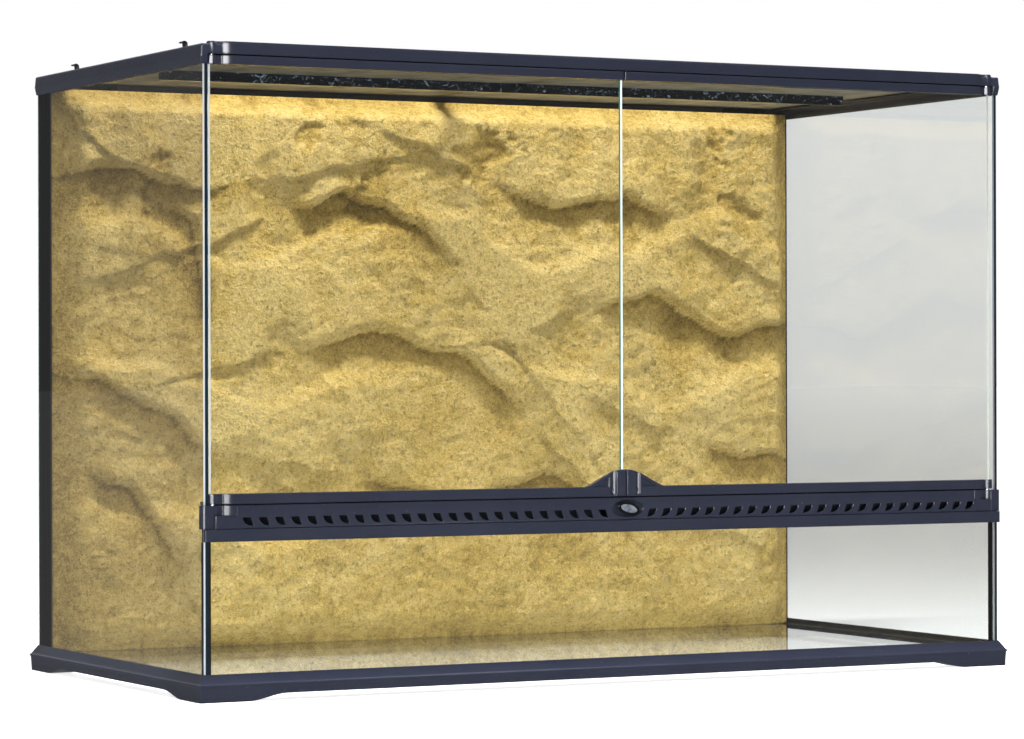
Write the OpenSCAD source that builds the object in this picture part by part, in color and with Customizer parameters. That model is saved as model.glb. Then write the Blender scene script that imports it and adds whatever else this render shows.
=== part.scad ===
// Front-opening glass terrarium, 900 mm class.
// Origin: middle of the footprint, on the surface it stands on. +X right, +Y back, +Z up.
// Front and side sizes are measured from the glass box; mirror-image pieces are drawn on
// the +X side and mirrored.

/* [Glass box] */
// Width over the outer faces of the two side panels
glass_w = 900; // [600:10:1200]
// Depth from the side panels' front edges to the back of the rear panel
glass_d = 437; // [360:1:600]
// Height of the side rails of the top frame above the floor
tank_h = 616; // [520:1:900]
// Thickness of every glass panel
wall_t = 5; // [4:0.5:6]
// Black bonding strip between the background and each side panel
bond_t = 1.5; // [1:0.25:3]
// Size of the silicone fillets along the floor
seal_r = 4; // [3:0.5:6]

/* [Base frame] */
// How far the ridge of the base stands out past the glass
base_lip = 7.5; // [6.5:0.25:10]
// Height of the ridge
ridge_z = 16; // [14:0.5:19]
// Height of the base frame's upper edge
base_h = 26; // [22:0.5:34]
// Height at which the floor panel rests on its ledge
floor_z = 15; // [14:0.5:17]
// Width of that ledge inside the glass
base_ledge = 14; // [8:0.5:24]
// Length of each foot along the sides
foot_len = 50; // [35:1:70]
// Length of the slope beside a foot
foot_slope = 40; // [25:1:60]
// Height of the underside between the feet
foot_rise = 6.5; // [4.5:0.5:8]

/* [Top frame] */
// Height of the side and rear rails
top_h = 19; // [18:0.5:26]
// How far the widest line of the rails stands out past the glass
top_lip = 2.5; // [2:0.25:4]
// Depth of that line below the top
bulge_drop = 11; // [7:0.5:13]
// Height of the front fascia over the doors
fascia_h = 9.5; // [8.5:0.5:10]
// How much higher than the side rails the middle of the fascia stands
fascia_rise = 2.5; // [1:0.25:4]
// Ledge that carries the screen cover, inside the glass
top_ledge = 15; // [10:0.5:22]
// Thickness of that ledge
ledge_t = 2.6; // [2:0.2:3.4]
// Height of the cover's seat below the top of the rails
seat_drop = 7.2; // [6.6:0.2:8]

/* [Doors] */
// Distance of the front faces of rails, fascia and strip before the glass
face_out = 5; // [4.5:0.25:6]
// Distance of the door glass behind the side panels' front edges
door_in = 2; // [1:0.25:3]
// Distance of each hinge axis inside the outer face of the side panel
pivot_in = 10.4; // [10.4:0.2:14]
// Radius of the hinge knuckles
knuckle_r = 5; // [4.5:0.1:5]
// Radius of the hinge pins
pin_r = 1.75; // [1.25:0.25:2.25]
// Length of each hinge pin
pin_len = 10; // [8:0.5:10]
// Radial running clearance of the knuckles on the pins
pin_play = 0.05; // [0.03:0.01:0.1]
// Front-to-back depth of the door rails
rail_d = 15; // [14:0.5:18]
// Height of the door's lower rail
rail_h = 9.5; // [8.5:0.5:13]
// Gap above and below the rails
rail_gap = 1.2; // [0.8:0.1:2]
// Gap between the two doors
seam = 2; // [1.2:0.2:4]
// Length of the rounded shoulder beside the hinge
shoulder_len = 12; // [8:0.5:18]
// Height of the handle hump above the rail
hump_h = 17; // [10:0.5:24]
// Half length of the handle hump
hump_half = 48; // [40:1:70]
// Half width of the pull in the middle of the hump
pull_half = 10.5; // [8:0.5:14]
// How far the pull stands proud of the rail
pull_out = 2; // [1:0.25:2.25]

/* [Vent strip] */
// Height of the strip's lower edge
strip_z = 150; // [110:1:200]
// Height of the strip
strip_h = 34; // [30:1:44]
// Height of the channel that holds the lower front glass
channel_h = 11.5; // [9:0.5:13]
// Wall thickness of the strip
strip_wall = 2.2; // [1.6:0.1:2.6]
// Front-to-back depth of the strip's deck
deck_d = 19; // [18:0.5:26]
// Number of vent holes on each side of the lock
vent_count = 24; // [10:1:30]
// Spacing of the vent holes
vent_pitch = 16.6; // [14:0.1:20]
// Height of a vent hole
vent_h = 8; // [5:0.1:9]
// Width of a vent hole's upper edge
vent_w = 8; // [5:0.1:8.5]
// Distance from the middle of the lock to the first hole
vent_start = 22; // [21:0.5:34]

/* [Lock] */
// Distance of the lock to the right of the doors' seam
lock_x = 2.8; // [0:0.2:4]
// Length of the oval recess round the lock
recess_l = 36; // [32:0.5:40]
// Height of the oval recess
recess_h = 16.4; // [15:0.2:18]
// Length of the oval knob
knob_l = 24; // [22:0.5:24]
// Height of the oval knob
knob_h = 12.6; // [11:0.2:14]
// Tilt of the knob when it is unlocked
knob_tilt = 14; // [0:1:25]
// Radius of the lock's spindle
spindle_r = 3; // [2:0.25:4]
// Reach of the lock's tongue from the spindle's axis
tongue_len = 15.6; // [14:0.2:16]
// Width of the tongue
tongue_w = 6; // [4:0.5:8]

/* [Screen cover] */
// Width of the cover's frame bars
bar_w = 15; // [10:0.5:22]
// Height of the cover's frame bars
bar_h = 6; // [4.5:0.25:6]
// Clearance round the cover
cover_gap = 0.5; // [0.3:0.1:1]
// Thickness of the screen
screen_t = 0.8; // [0.5:0.1:1.2]
// Width of the screen's strands
strand = 1.2; // [0.8:0.1:2]
// Gaps of the screen along each half's width
screen_nx = 9; // [4:1:12]
// Gaps of the screen from front to back
screen_ny = 9; // [4:1:12]
// Length of the brace bar under the screen
brace_l = 800; // [500:10:840]
// Height of the brace bar
brace_h = 10; // [6:0.5:14]
// Thickness of the brace bar
brace_t = 4; // [2:0.5:8]
// Distance of the front latches behind the front of the glass
latch_front = 52; // [40:1:80]
// Distance of the rear latches before the back of the glass
latch_rear = 101; // [60:1:130]
// Width of each latch
latch_w = 9; // [6:0.5:12]
// Travel of each latch
latch_travel = 4; // [3:0.25:4.5]

/* [Cable inlets] */
// Width of each inlet in the rear rail
inlet_w = 58; // [30:1:80]
// Height of each inlet
inlet_h = 6.2; // [4:0.2:6.4]
// Distance of each inlet from the outer face of the side panel
inlet_in = 26; // [20:1:60]
// Thickness of the sliding gates
gate_t = 1.8; // [1.2:0.1:2.2]

/* [Background] */
// Thickness of the background along its edges
rock_t = 26; // [18:1:40]
// Height of the relief above that
relief = 34; // [10:1:50]
// Grid spacing of the relief
rock_step = 30; // [20:1:50]

/* [Hidden] */
$fn = 48;
eps = 0.01;
cut = 1;            // how far cutting shapes run past a surface
fit = 0.3;          // clearance between pieces that only lie against each other
slide_gap = 0.2;    // clearance round the sliding pieces

// Glass box
half_w = glass_w / 2;
inner_w = half_w - wall_t;
front_y = -glass_d / 2;
back_y = glass_d / 2;
rear_in = back_y - wall_t;
floor_top = floor_z + wall_t;
glass_z = floor_z - 3;

// Front of the tank
face_y = front_y - face_out;
door_y = front_y + door_in;
pivot_x = half_w - pivot_in;
pivot_y = face_y + rail_d / 2;
rail_back = rail_d / 2;
lower_front_y = front_y + 0.5;

// Heights
frame_z = tank_h - top_h;
seat_z = tank_h - seat_drop;
ledge_z = seat_z - ledge_t;
fascia_z = tank_h - fascia_h;
strip_top = strip_z + strip_h;
band_z = strip_z + channel_h;
lower_rail_z = strip_top + rail_gap;
upper_rail_z = fascia_z - rail_gap;
upper_rail_h = upper_rail_z - frame_z;
glass_top = ledge_z - 1.4;
rear_top = fascia_z - 6;
slot_gap = 0.1;
bore_depth = pin_len / 2 - rail_gap + 0.8;
door_glass_z = lower_rail_z + bore_depth + 0.6;
door_glass_top = upper_rail_z - bore_depth - 0.6;
// the glass runs past the hinge axis as far as the knuckle's round allows
glass_end = pivot_x + sqrt(knuckle_r ^ 2 - (door_y + wall_t - pivot_y) ^ 2) - 0.15;

// Door stops behind the lower and upper rails
stop_h = 3.4;
stop_y = pivot_y + rail_back + 0.5;
air_slit = 0.8;

// Lock
lock_z = strip_top - 11;
recess_d = 3;
boss_d = 7;
tongue_y = face_y + boss_d + 0.4;
tongue_t = 2.6;
pocket_half = tongue_len - 1;
pocket_h = rail_h / 2 - 0.6;

// Screen cover
upstand = 4;
cover_x = inner_w - upstand - cover_gap;
cover_front = face_y + rail_d + 5;
cover_rear = rear_in - upstand - 4;
screen_z = seat_z + fit;
bar_z = screen_z + screen_t;
open_front = cover_front + top_ledge - upstand;
open_rear = rear_in - top_ledge;
latch_z = bar_z + 2.2;
latch_t = 1.6;
latch_foot = 2;
stem_t = 1.8;
curl_r = 3.2;
curl_z = tank_h + 3;
stem_x = cover_x + latch_travel + stem_t / 2 + fit;
foot_end = stem_x + stem_t / 2 + 1.4;

// Cable inlets
inlet_z = ledge_z - 3.8;
gate_y = back_y - 2.4;
gate_h = inlet_h + 2;
gate_l = inlet_w + 4;

plastic = "#2e313c";
gloss_black = "#17181d";
rubber_black = "#101114";
clear_glass = [0.72, 0.86, 0.84, 0.35];
silver = "#c8ccd2";
screen_grey = "#8a8870";
rock_tan = "#c6a560";

// ---------- shared shapes ----------

// Draws its children on the +X side, or mirrored on the -X side
module on_side(side) {
    if (side > 0) children();
    else mirror([1, 0, 0]) children();
}

// A block from its lowest corner to its highest
module block(low, high) {
    translate(low) cube(high - low);
}

// Section of a slab whose two edges follow a profile of [outset, height] points
module slab_section(size, profile) {
    right = [for (p = profile) [size / 2 + p[0], p[1]]];
    left = [for (i = [len(profile) - 1:-1:0]) [-size / 2 - profile[i][0], profile[i][1]]];
    polygon(concat(right, left));
}

// A slab with mitred corners whose edge follows the profile all round
module moulded_slab(w, d, profile) {
    intersection() {
        rotate([90, 0, 0]) linear_extrude(2 * d, center = true) slab_section(w, profile);
        rotate([90, 0, 90]) linear_extrude(2 * w, center = true) slab_section(d, profile);
    }
}

// Smooth step from 0 to 1
function ease(t) = t <= 0 ? 0 : t >= 1 ? 1 : t * t * (3 - 2 * t);

// Points on an ellipse
function oval(l, h, n = 48) = [for (i = [0:n - 1]) [l / 2 * cos(360 * i / n), h / 2 * sin(360 * i / n)]];

// Plan of a rail, fascia or hinge block on the +X side: knuckle, valley, rounded shoulder.
// It runs from the hinge axis to x = inner, and its front face lies on face_y.
valley_y = -3;
valley_x = 9;
shoulder_n = 10;
module rail_plan(inner) {
    shoulder = [for (i = [0:shoulder_n]) [
        pivot_x - valley_x - shoulder_len * (1 - cos(90 * i / shoulder_n)),
        pivot_y + valley_y - (rail_back + valley_y) * sin(90 * i / shoulder_n)
    ]];
    translate([pivot_x, pivot_y]) circle(knuckle_r);
    polygon(concat(
        [[pivot_x + 1, pivot_y + valley_y]], shoulder,
        [[inner, pivot_y - rail_back], [inner, pivot_y + rail_back],
         [pivot_x - 2, pivot_y + rail_back], [pivot_x + 1, pivot_y + knuckle_r - 1]]
    ));
}

// ---------- base ----------

// Outline of the space under the frame between two feet, as seen from one side
module foot_arch(length) {
    steps = 8;
    edge = length / 2 - foot_len;
    rise = [for (i = [0:steps]) [edge - foot_slope * i / steps, foot_rise * ease(i / steps)]];
    fall = [for (i = [steps:-1:0]) [-rise[i][0], rise[i][1]]];
    polygon(concat([[edge, -cut]], rise, fall, [[-edge, -cut]]));
}

module base_frame() {
    w = glass_w + 2 * base_lip;
    d = glass_d + 2 * base_lip;
    profile = [[-1.6, 0], [-0.8, ridge_z - 1.6], [0, ridge_z - 0.8], [0, ridge_z + 0.4],
               [-1.4, ridge_z + 1.8], [0.9 - base_lip, base_h]];
    hole_x = inner_w - base_ledge;
    hole_y = glass_d / 2 - wall_t - base_ledge;
    color(plastic) difference() {
        moulded_slab(w, d, profile);
        rotate([90, 0, 0]) linear_extrude(d + 2 * cut, center = true) foot_arch(w);
        rotate([90, 0, 90]) linear_extrude(w + 2 * cut, center = true) foot_arch(d);
        // opening under the floor panel
        block([-hole_x, -hole_y, -cut], [hole_x, hole_y, base_h + cut]);
        // the floor's ledge, and the channel the walls stand in
        block([-inner_w, -hole_y - base_ledge, floor_z], [inner_w, hole_y + base_ledge, base_h + cut]);
        for (side = [-1, 1]) on_side(side)
            block([inner_w - eps, front_y, glass_z], [half_w, back_y, base_h + cut]);
        block([-half_w, rear_in - eps, glass_z], [half_w, back_y, base_h + cut]);
        block([-half_w, front_y, glass_z], [half_w, lower_front_y + wall_t + eps, base_h + cut]);
    }
}

module floor_glass() {
    color(clear_glass)
        block([-inner_w, lower_front_y + wall_t, floor_z], [inner_w, rear_in, floor_top]);
}

module side_glass() {
    color(clear_glass) block([inner_w, front_y, glass_z], [half_w, back_y, glass_top]);
}

module left_glass() {
    on_side(-1) side_glass();
}

module right_glass() {
    on_side(1) side_glass();
}

module rear_glass() {
    color(clear_glass) block([-inner_w, rear_in, glass_z], [inner_w, back_y, rear_top]);
}

module lower_front_glass() {
    color(clear_glass)
        block([-inner_w, lower_front_y, glass_z],
              [inner_w, lower_front_y + wall_t, band_z - strip_wall - fit]);
}

// Concave fillet in the corner between two panels
module fillet(length) {
    n = 6;
    arc = [for (i = [0:n]) [seal_r * (1 - sin(90 * i / n)), seal_r * (1 - cos(90 * i / n))]];
    linear_extrude(length) polygon(concat([[0, 0]], arc));
}

module floor_seals() {
    y0 = lower_front_y + wall_t;
    y1 = rear_in - rock_t - fit;
    color(rubber_black) {
        translate([-inner_w, y0, floor_top]) rotate([90, 0, 90]) fillet(2 * inner_w);
        for (side = [-1, 1]) on_side(side) {
            translate([inner_w, y1, floor_top]) rotate([90, 0, 0]) mirror([1, 0, 0]) fillet(y1 - y0);
            translate([inner_w, y0, floor_top]) rotate([0, 0, 90]) fillet(strip_z - floor_top - fit);
        }
    }
}

module corner_bonds() {
    color(rubber_black) for (side = [-1, 1]) on_side(side)
        block([inner_w - bond_t, rear_in - rock_t, floor_top], [inner_w, rear_in, frame_z - fit]);
}

// ---------- background ----------

rock_w = 2 * (inner_w - bond_t - fit);
rock_z = floor_top + fit;
rock_top = inlet_z - 0.4;
rock_h = rock_top - rock_z;
rock_nx = ceil(rock_w / rock_step);
rock_nz = ceil(rock_h / rock_step);

// Wandering ledges: height of ledge k at x
function ledge_line(k, x) =
    rock_z + rock_h * (0.24 + 0.25 * k) + 26 * sin(x * (0.55 + 0.2 * k) + 70 * k) + 9 * sin(x * 2.1 + 40 * k);

// Standing-out share of the rock, 0 to 1, over x (from the middle) and z
function rock_form(x, z) =
    let (folds = 0.5 + 0.5 * sin(x * 0.95 + 34 * sin(z * 0.75) + 20))
    let (ribs = 0.5 + 0.5 * sin(x * 2.35 - 28 * sin(z * 0.9 + 50)))
    let (shelves = [for (k = [0:2]) ease((ledge_line(k, x) - z) / 24 + 0.5) * ease((z - ledge_line(k, x)) / 150 + 1)])
    0.34 * folds + 0.2 * ribs + 0.46 * max(shelves);

// The relief dies out towards the edges
function rock_edge(x, z) =
    ease((rock_w / 2 - abs(x)) / 45) * ease((z - rock_z) / 30) * ease((rock_top - z) / 30);

function rock_y(x, z) = rear_in - rock_t - relief * rock_form(x, z) * rock_edge(x, z);

module rock_background() {
    cols = rock_nx + 1;
    layer = cols * (rock_nz + 1);
    function at(i, j) = j * cols + i;
    function px(i) = -rock_w / 2 + rock_w * i / rock_nx;
    function pz(j) = rock_z + rock_h * j / rock_nz;
    front = [for (j = [0:rock_nz], i = [0:rock_nx]) [px(i), rock_y(px(i), pz(j)), pz(j)]];
    back = [for (p = front) [p[0], rear_in - fit, p[2]]];
    // the front's border, anticlockwise as seen from the front
    border = concat([for (i = [0:rock_nx]) at(i, 0)], [for (j = [1:rock_nz]) at(rock_nx, j)],
                    [for (i = [rock_nx - 1:-1:0]) at(i, rock_nz)], [for (j = [rock_nz - 1:-1:1]) at(0, j)]);
    m = len(border);
    cells = [for (j = [0:rock_nz - 1], i = [0:rock_nx - 1]) [at(i, j), at(i, j + 1), at(i + 1, j + 1), at(i + 1, j)]];
    front_faces = [for (c = cells, half = [0, 1]) half == 0 ? [c[0], c[1], c[2]] : [c[0], c[2], c[3]]];
    back_faces = [for (f = front_faces) [f[2] + layer, f[1] + layer, f[0] + layer]];
    side_faces = [for (k = [0:m - 1], half = [0, 1])
        let (a = border[k], b = border[(k + 1) % m])
        half == 0 ? [a, b, b + layer] : [a, b + layer, a + layer]];
    color(rock_tan)
        polyhedron(points = concat(front, back), faces = concat(front_faces, back_faces, side_faces));
}

// ---------- vent strip and hinges ----------

// Section of the strip as seen from its end: channel below, vent band, deck and rear baffle
module strip_section() {
    f = face_y + 0.4;
    g = lower_front_y;
    polygon([
        [face_y, strip_z], [g - 0.1, strip_z], [g - 0.1, band_z - strip_wall],
        [g + wall_t + 0.1, band_z - strip_wall], [g + wall_t + 0.1, strip_z],
        [g + wall_t + strip_wall, strip_z], [g + wall_t + strip_wall, band_z],
        [f + strip_wall, band_z], [f + strip_wall, strip_top - strip_wall],
        [f + deck_d - strip_wall, strip_top - strip_wall], [f + deck_d - strip_wall, band_z + air_slit],
        [f + deck_d, band_z + air_slit], [f + deck_d, strip_top + stop_h],
        [stop_y, strip_top + stop_h], [stop_y, strip_top], [f, strip_top],
        [f, band_z + 0.8], [f + 0.8, band_z + 0.8], [f + 0.8, band_z], [face_y, band_z]
    ]);
}

// Fin-shaped hole of the left group: flat top, slanted right edge, bulging lower left edge
module vent_hole() {
    n = 5;
    lean = vent_h * 0.36;
    curve = [for (i = [0:n]) [
        (vent_w + lean - 0.6) * (1 - cos(90 * i / n)),
        -vent_h * sin(90 * i / n)
    ]];
    polygon(concat([[vent_w, 0]], curve, [[vent_w + lean, -vent_h]]));
}

module vent_holes() {
    top = lock_z - 0.5;
    for (side = [-1, 1]) translate([lock_x, 0, 0]) on_side(side) for (i = [0:vent_count - 1])
        translate([vent_start + i * vent_pitch, face_y - cut, top])
            rotate([-90, 0, 0]) linear_extrude(strip_wall + 2 * cut + 1)
                translate([vent_w + vent_h * 0.36, 0]) mirror([1, 0]) mirror([0, 1]) vent_hole();
}

module vent_strip() {
    color(plastic) difference() {
        union() {
            translate([-half_w, 0, 0]) rotate([90, 0, 90]) linear_extrude(2 * half_w) strip_section();
            // boss that carries the lock's spindle
            translate([lock_x, face_y + 0.4, lock_z]) rotate([-90, 0, 0])
                linear_extrude(boss_d - 0.4) polygon(oval(recess_l + 4, 2 * (strip_top - lock_z) - 2));
        }
        // everything behind the front wall lies between the side panels
        for (side = [-1, 1]) on_side(side)
            block([inner_w, front_y - fit, strip_z - cut], [half_w + cut, front_y + deck_d, strip_top + stop_h + cut]);
        // the hinge blocks stand in the two upper corners
        for (side = [-1, 1]) on_side(side)
            block([block_inner, face_y - cut, block_z], [half_w + cut, front_y + deck_d, strip_top + stop_h + cut]);
        for (side = [-1, 1]) on_side(side)
            block([half_w - 10.5, face_y - cut, band_z], [half_w + cut, front_y - eps, block_z + eps]);
        vent_holes();
        // lock recess and spindle bore
        translate([lock_x, face_y - cut, lock_z]) rotate([-90, 0, 0])
            linear_extrude(recess_d + cut) polygon(oval(recess_l, recess_h));
        translate([lock_x, face_y - cut, lock_z]) rotate([-90, 0, 0])
            cylinder(r = spindle_r + pin_play, h = boss_d + 2 * cut);
        // slot in the deck for the tongue
        block([lock_x - pocket_half, tongue_y - 0.6, strip_top - strip_wall - cut],
              [lock_x + pocket_half, tongue_y + tongue_t + 0.6, strip_top + cut]);
    }
}

block_z = strip_top - 9.5;
block_inner = pivot_x - valley_x - shoulder_len - 0.5;

// Corner block that carries the lower hinge pin and wraps the side panel's front edge
module hinge_block() {
    color(plastic) difference() {
        union() {
            translate([0, 0, block_z]) linear_extrude(strip_top - block_z) rail_plan(block_inner);
            // cheek over the front edge and outer face of the side panel
            block([pivot_x + 1, pivot_y - 5.5, band_z + 0.2], [half_w - 0.8, front_y, strip_top]);
            translate([half_w - 1, pivot_y - 2.8, band_z + 0.2])
                cylinder(r = 2.9, h = strip_top - band_z - 0.2);
            block([half_w, pivot_y - 3, band_z + 0.2], [half_w + 1.9, front_y + 6, strip_top]);
            // tab behind the gap between the strip's front wall and the cheek
            block([pivot_x - 2.6, face_y + 0.4 + strip_wall + fit, band_z + 0.2],
                  [pivot_x + 2, front_y - 0.1, block_z + eps]);
            // the door stop goes on across the block
            block([block_inner, pivot_y + rail_back - 1, block_z], [inner_w - fit, stop_y + 2, strip_top]);
            block([block_inner, stop_y, strip_top - eps], [inner_w - fit, stop_y + 2, strip_top + stop_h]);
        }
        block([inner_w - fit, front_y, band_z - cut], [half_w, front_y + deck_d, strip_top + cut]);
        // socket of the pin
        translate([pivot_x, pivot_y, lower_rail_z - rail_gap - pin_len / 2])
            cylinder(r = pin_r, h = pin_len);
    }
}

module left_hinge_block() {
    on_side(-1) hinge_block();
}

module right_hinge_block() {
    on_side(1) hinge_block();
}

module hinge_pins() {
    color(silver) for (side = [-1, 1]) on_side(side) {
        translate([pivot_x, pivot_y, strip_top - pin_len / 2]) cylinder(r = pin_r, h = pin_len);
        translate([pivot_x, pivot_y, fascia_z - pin_len / 2]) cylinder(r = pin_r, h = pin_len);
    }
}

// ---------- top frame ----------

// Centres of the latches on the +X side
latch_ys = [front_y + latch_front, back_y - latch_rear];

// Room for a latch's foot, and the narrower slot for its stem
module latch_slots(y) {
    half = latch_w / 2 + slide_gap;
    block([inner_w - upstand - cut, y - half - latch_foot, latch_z - slide_gap],
          [foot_end + slide_gap, y + half + latch_foot, latch_z + latch_t + slide_gap]);
    block([inner_w - upstand - cut, y - half, latch_z],
          [stem_x + stem_t / 2 + slide_gap, y + half, tank_h + cut]);
}

module top_frame() {
    w = glass_w;
    d = glass_d;
    hole_x = inner_w - top_ledge;
    profile = [[1, frame_z], [1.5, frame_z + 1.5], [top_lip, tank_h - bulge_drop],
               [top_lip - 0.8, tank_h - 1], [top_lip - 1.6, tank_h]];
    color(plastic) difference() {
        union() {
            moulded_slab(w, d, profile);
            raised_fascia();
        }
        // the opening, and the cover's seat
        block([-hole_x, open_front, frame_z - cut], [hole_x, open_rear, tank_h + fascia_rise + cut]);
        block([-inner_w + upstand, cover_front, seat_z],
              [inner_w - upstand, cover_rear + cover_gap, tank_h + fascia_rise + cut]);
        // room under the ledge
        block([-inner_w + bond_t, front_y + deck_d, frame_z - cut], [inner_w - bond_t, open_rear, ledge_z]);
        block([-inner_w + bond_t, open_rear - eps, frame_z - cut], [inner_w - bond_t, rear_in, inlet_z]);
        // room for the doors' upper rails
        block([-inner_w - fit, face_y - face_out, frame_z - cut], [inner_w + fit, stop_y, fascia_z]);
        block([-inner_w - fit, stop_y - eps, frame_z - cut], [inner_w + fit, stop_y + 2, fascia_z - stop_h]);
        block([-inner_w - fit, stop_y + 2 - eps, frame_z - cut], [inner_w + fit, front_y + deck_d + eps, fascia_z]);
        // grooves on the glass
        for (side = [-1, 1]) on_side(side)
            block([inner_w, front_y, frame_z - cut], [half_w, back_y, glass_top + 0.2]);
        block([-inner_w - eps, rear_in - 0.1, frame_z - cut], [inner_w + eps, back_y, rear_top + 0.2]);
        for (side = [-1, 1]) on_side(side) {
            for (y = latch_ys) latch_slots(y);
            // upper hinge pin
            translate([pivot_x, pivot_y, fascia_z - cut]) cylinder(r = pin_r, h = pin_len / 2 + cut);
            // cable inlet through the rear rail, and the pocket its gate slides in
            block([half_w - inlet_in - inlet_w, open_rear - cut, inlet_z],
                  [half_w - inlet_in, back_y + top_lip + cut, inlet_z + inlet_h]);
            block([half_w - inlet_in - 2 * inlet_w - 6, gate_y - slide_gap, inlet_z - 1 - slide_gap],
                  [half_w - inlet_in + 2.4, gate_y + gate_t + slide_gap, inlet_z - 1 + gate_h + slide_gap]);
        }
    }
}

// Front fascia: its plan matches the door rails, and its upper edge is rounded in thin layers
module raised_fascia() {
    n = 4;
    back = cover_front + upstand / 2;
    module plan(in) {
        for (side = [-1, 1]) on_side(side) offset(delta = -in) {
            rail_plan(-20);
            translate([-20, face_y]) square([pivot_x - valley_x - shoulder_len + 20, back - face_y]);
        }
    }
    translate([0, 0, fascia_z]) linear_extrude(tank_h - fascia_z + eps) plan(0);
    for (i = [0:n - 1]) {
        in = fascia_rise * (1 - cos(90 * i / n));
        z0 = tank_h + fascia_rise * sin(90 * i / n);
        z1 = tank_h + fascia_rise * sin(90 * (i + 1) / n);
        translate([0, 0, z0]) linear_extrude(z1 - z0 + (i < n - 1 ? eps : 0)) plan(in);
    }
    block([-pivot_x + valley_x, face_y + rail_d - 2, fascia_z], [pivot_x - valley_x, back, tank_h]);
}

// ---------- doors ----------

// Height of the handle hump over the rail at a distance from the seam
function hump(x) = (hump_h + 0.6) * (0.5 + 0.5 * cos(180 * min(1, abs(x) / hump_half))) ^ 0.8 - 0.6;

// Half of the handle on the +X side: bell-shaped plate with a sunk sail and a proud pull
module handle_half() {
    z0 = lower_rail_z + rail_h;
    n = 14;
    bell = [for (i = [0:n]) [seam / 2 + (hump_half - seam / 2) * i / n, z0 + hump(hump_half * i / n)]];
    sail_x0 = pull_half + 7.6;
    sail_x1 = hump_half - 10;
    sail_z0 = lower_rail_z + 2.2;
    m = 8;
    sail = [for (i = [0:m]) let (x = sail_x0 + (sail_x1 - sail_x0) * i / m) [x, max(sail_z0 + 1, z0 + hump(x) - 3.2)]];
    difference() {
        union() {
            translate([0, pivot_y - rail_back + 6, 0]) rotate([90, 0, 0])
                linear_extrude(6) polygon(concat([[seam / 2, z0 - 1]], bell, [[hump_half, z0 - 1]]));
            // proud pull
            translate([0, face_y + 1, 0]) rotate([90, 0, 0]) linear_extrude(1 + pull_out)
                polygon([[seam / 2, lower_rail_z + 0.5], [pull_half + 1.5, lower_rail_z + 0.5],
                         [pull_half, z0 + hump(pull_half) - 0.4], [seam / 2, z0 + hump_h - 0.4]]);
        }
        // sunk sail
        translate([0, face_y + 1.2, 0]) rotate([90, 0, 0]) linear_extrude(1.2 + cut)
            polygon(concat([[sail_x0, sail_z0]], sail, [[sail_x1, sail_z0]]));
    }
}

// Scooped flank beside the pull, with its oval dimple
module pull_flank() {
    x = pull_half + 3.4;
    translate([x, face_y - 1.2, lower_rail_z + 2.4]) cylinder(r = 3.1, h = rail_h + hump_h);
    translate([x, face_y - cut, lower_rail_z + 6]) rotate([-90, 0, 0])
        linear_extrude(4) polygon(oval(2.6, 5));
}

// Slot for the door glass in a rail; it is open to the back beside the hinge axis
module glass_slot(low, high) {
    block([0, door_y - slot_gap, low], [glass_end + slot_gap, door_y + wall_t + slot_gap, high]);
    block([pivot_x - 2.6, door_y - slot_gap, low], [glass_end + slot_gap, pivot_y + rail_back + cut, high]);
}

module lower_rail() {
    z0 = lower_rail_z;
    color(plastic) difference() {
        union() {
            translate([0, 0, z0]) linear_extrude(rail_h) rail_plan(seam / 2);
            handle_half();
        }
        pull_flank();
        glass_slot(door_glass_z - slot_gap, z0 + rail_h + hump_h + cut);
        // pocket for the lock's tongue
        block([0, tongue_y - 0.8, z0 - cut], [pocket_half + lock_x, tongue_y + tongue_t + 0.8, z0 + pocket_h]);
        translate([pivot_x, pivot_y, z0 - cut])
            cylinder(r = pin_r + pin_play, h = bore_depth + cut);
    }
}

module upper_rail() {
    color(plastic) difference() {
        translate([0, 0, frame_z]) linear_extrude(upper_rail_h) rail_plan(seam / 2);
        glass_slot(frame_z - cut, door_glass_top + slot_gap);
        translate([pivot_x, pivot_y, upper_rail_z - bore_depth])
            cylinder(r = pin_r + pin_play, h = bore_depth + cut);
    }
}

module door_glass() {
    color(clear_glass)
        block([seam / 2, door_y, door_glass_z], [glass_end, door_y + wall_t, door_glass_top]);
}

module left_door_glass() {
    on_side(-1) door_glass();
}

module left_lower_rail() {
    on_side(-1) lower_rail();
}

module left_upper_rail() {
    on_side(-1) upper_rail();
}

module right_door_glass() {
    on_side(1) door_glass();
}

module right_lower_rail() {
    on_side(1) lower_rail();
}

module right_upper_rail() {
    on_side(1) upper_rail();
}

// ---------- lock ----------

knob_back = face_y - 0.3;
knob_front = face_y - 2.3;
plate_t = 1;
rim_l = 2.6;        // width of the knob's rim at the ends of the plate
rim_h = 2.4;        // width of the rim above and below the plate

module lock_knob() {
    floor_y = face_y + recess_d - fit;
    color(gloss_black) difference() {
        translate([lock_x, 0, lock_z]) {
            translate([0, knob_back, 0]) rotate([90, knob_tilt, 0])
                linear_extrude(knob_back - knob_front) polygon(oval(knob_l, knob_h));
            translate([0, knob_back - eps, 0]) rotate([-90, 0, 0]) cylinder(r = knob_h / 2 - 0.8, h = floor_y - knob_back);
            translate([0, floor_y - cut, 0]) rotate([-90, 0, 0])
                cylinder(r = spindle_r, h = tongue_y + tongue_t - floor_y + 0.4 + cut);
        }
        translate([lock_x, knob_front + plate_t, lock_z]) rotate([90, knob_tilt, 0])
            linear_extrude(plate_t + cut) polygon(oval(knob_l - 2 * rim_l, knob_h - 2 * rim_h));
    }
}

module lock_plate() {
    color(silver) translate([lock_x, knob_front + plate_t, lock_z]) rotate([90, knob_tilt, 0])
        linear_extrude(plate_t - 0.3) polygon(oval(knob_l - 2 * rim_l - 0.2, knob_h - 2 * rim_h - 0.2));
}

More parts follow.
